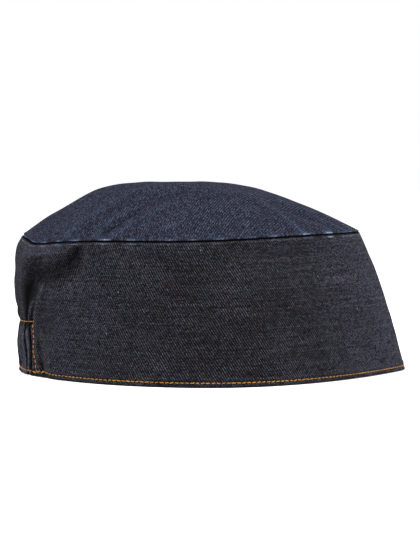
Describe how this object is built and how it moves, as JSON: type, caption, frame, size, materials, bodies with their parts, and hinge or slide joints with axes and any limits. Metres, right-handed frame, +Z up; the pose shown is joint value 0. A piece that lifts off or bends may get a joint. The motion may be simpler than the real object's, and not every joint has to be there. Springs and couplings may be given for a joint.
{
  "type": "chef skull cap",
  "caption": "Denim chef's skull cap: oval crown panel, deep side band with a turned-up hem, and an elastic casing that gathers the nape.",
  "frame": {"origin": "middle of the hem's length and width, on the surface that the cap stands on", "axes": "+X to the forehead, -Y to the wearer's right, +Z up"},
  "size_m": [0.2015, 0.1656, 0.0974],
  "materials": {
    "band_denim": "dark indigo cotton denim, matt, with fine slubs across and paler rubbed creases",
    "crown_denim": "dark indigo cotton denim, matt and a little bluer, its edge rubbed pale along the seam"
  },
  "bodies": {
    "root": {"side_band": "band_denim", "elastic_casing": "band_denim", "crown_panel": "crown_denim"}
  },
  "joints": []
}
